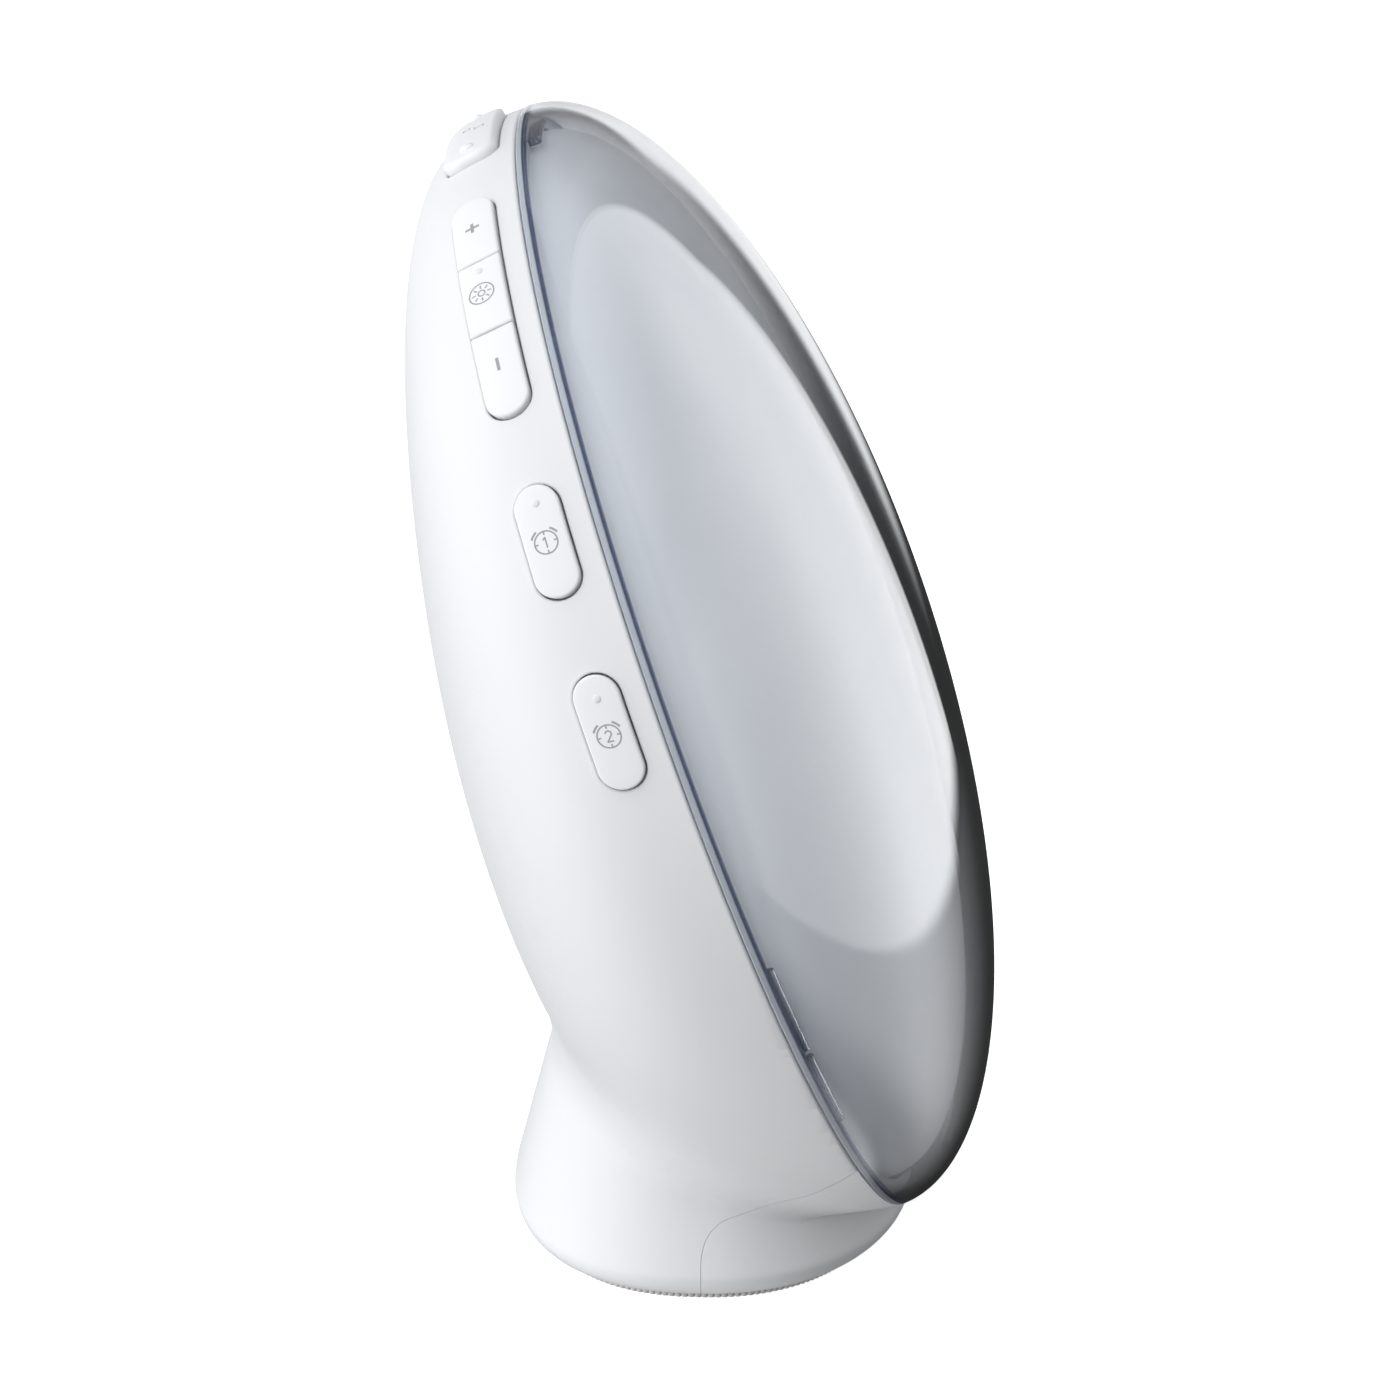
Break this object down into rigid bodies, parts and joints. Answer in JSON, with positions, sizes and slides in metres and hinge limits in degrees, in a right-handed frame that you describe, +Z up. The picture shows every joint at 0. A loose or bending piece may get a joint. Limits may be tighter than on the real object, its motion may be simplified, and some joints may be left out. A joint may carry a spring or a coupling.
{
  "type": "wake-up light",
  "caption": "Bedside wake-up light: tilted round lamp head with a clear domed lens over a pale diffuser, white bowl-shaped back on a flared oval foot, marked push keys along its edge.",
  "frame": {"origin": "on the resting plane, under the middle of the overall box", "axes": "+Z up, the lit lens faces -Y and leans back 20 degrees, +X to the right of the back"},
  "size_m": [0.19, 0.0962, 0.1871],
  "materials": {
    "shell_white": "fine textured white",
    "skirt_white": "fine textured white",
    "key_white": "satin white with grey printed marks",
    "lens_clear": "clear smoke tint, gloss",
    "diffuser_milk": "translucent pale blue grey",
    "reflector_white": "white",
    "board_green": "solder mask",
    "led_yellow": "phosphor",
    "black_plastic": "black",
    "speaker_black": "coated paper and steel",
    "base_white": "white",
    "weight_steel": "plain",
    "screw_steel": "plain",
    "foot_rubber": "ribbed, warm grey"
  },
  "bodies": {
    "lamp": {"rear_shell": "shell_white", "front_skirt": "skirt_white", "front_lens": "lens_clear", "diffuser": "diffuser_milk", "reflector": "reflector_white", "led_board": "board_green", "led_1": "led_yellow", "led_2": "led_yellow", "led_3": "led_yellow", "led_4": "led_yellow", "led_5": "led_yellow", "led_6": "led_yellow", "display_module": "black_plastic", "main_board": "board_green", "speaker": "speaker_black", "dc_jack": "black_plastic", "base_plate": "base_white", "counterweight": "weight_steel", "foot_ring": "foot_rubber", "screw_base_1": "screw_steel", "screw_base_2": "screw_steel", "screw_base_3": "screw_steel", "switch_light_plus": "black_plastic", "switch_light_switch": "black_plastic", "switch_light_minus": "black_plastic", "switch_alarm_1": "black_plastic", "switch_alarm_2": "black_plastic", "switch_sound_plus": "black_plastic", "switch_sound_switch": "black_plastic", "switch_sound_minus": "black_plastic", "switch_clock_set": "black_plastic", "switch_sound_source": "black_plastic", "switch_snooze": "black_plastic", "key_board_left": "board_green", "key_board_right": "board_green", "key_board_top": "board_green"},
    "light_plus": {"key_light_plus": "key_white"},
    "light_switch": {"key_light_switch": "key_white"},
    "light_minus": {"key_light_minus": "key_white"},
    "alarm_1": {"key_alarm_1": "key_white"},
    "alarm_2": {"key_alarm_2": "key_white"},
    "sound_plus": {"key_sound_plus": "key_white"},
    "sound_switch": {"key_sound_switch": "key_white"},
    "sound_minus": {"key_sound_minus": "key_white"},
    "clock_set": {"key_clock_set": "key_white"},
    "sound_source": {"key_sound_source": "key_white"},
    "snooze": {"key_snooze": "key_white"}
  },
  "joints": [
    {"name": "press_light_plus", "type": "slide", "parent": "lamp", "child": "light_plus", "axis": [0.374, -0.4436, -0.8144], "range_m": [0, 0.0007], "stiffness_N_per_m": 900},
    {"name": "press_light_switch", "type": "slide", "parent": "lamp", "child": "light_switch", "axis": [0.5191, -0.4032, -0.7536], "range_m": [0, 0.0007], "stiffness_N_per_m": 900},
    {"name": "press_light_minus", "type": "slide", "parent": "lamp", "child": "light_minus", "axis": [0.6514, -0.3527, -0.6718], "range_m": [0, 0.0007], "stiffness_N_per_m": 900},
    {"name": "press_alarm_1", "type": "slide", "parent": "lamp", "child": "alarm_1", "axis": [0.8527, -0.242, -0.4629], "range_m": [0, 0.0007], "stiffness_N_per_m": 900},
    {"name": "press_alarm_2", "type": "slide", "parent": "lamp", "child": "alarm_2", "axis": [0.9733, -0.1311, -0.1882], "range_m": [0, 0.0007], "stiffness_N_per_m": 900},
    {"name": "press_sound_plus", "type": "slide", "parent": "lamp", "child": "sound_plus", "axis": [-0.374, -0.4436, -0.8144], "range_m": [0, 0.0007], "stiffness_N_per_m": 900},
    {"name": "press_sound_switch", "type": "slide", "parent": "lamp", "child": "sound_switch", "axis": [-0.5191, -0.4032, -0.7536], "range_m": [0, 0.0007], "stiffness_N_per_m": 900},
    {"name": "press_sound_minus", "type": "slide", "parent": "lamp", "child": "sound_minus", "axis": [-0.6514, -0.3527, -0.6718], "range_m": [0, 0.0007], "stiffness_N_per_m": 900},
    {"name": "press_clock_set", "type": "slide", "parent": "lamp", "child": "clock_set", "axis": [-0.8527, -0.242, -0.4629], "range_m": [0, 0.0007], "stiffness_N_per_m": 900},
    {"name": "press_sound_source", "type": "slide", "parent": "lamp", "child": "sound_source", "axis": [-0.9733, -0.1311, -0.1882], "range_m": [0, 0.0007], "stiffness_N_per_m": 900},
    {"name": "press_snooze", "type": "slide", "parent": "lamp", "child": "snooze", "axis": [0, -0.4859, -0.874], "range_m": [0, 0.0007], "stiffness_N_per_m": 900}
  ]
}
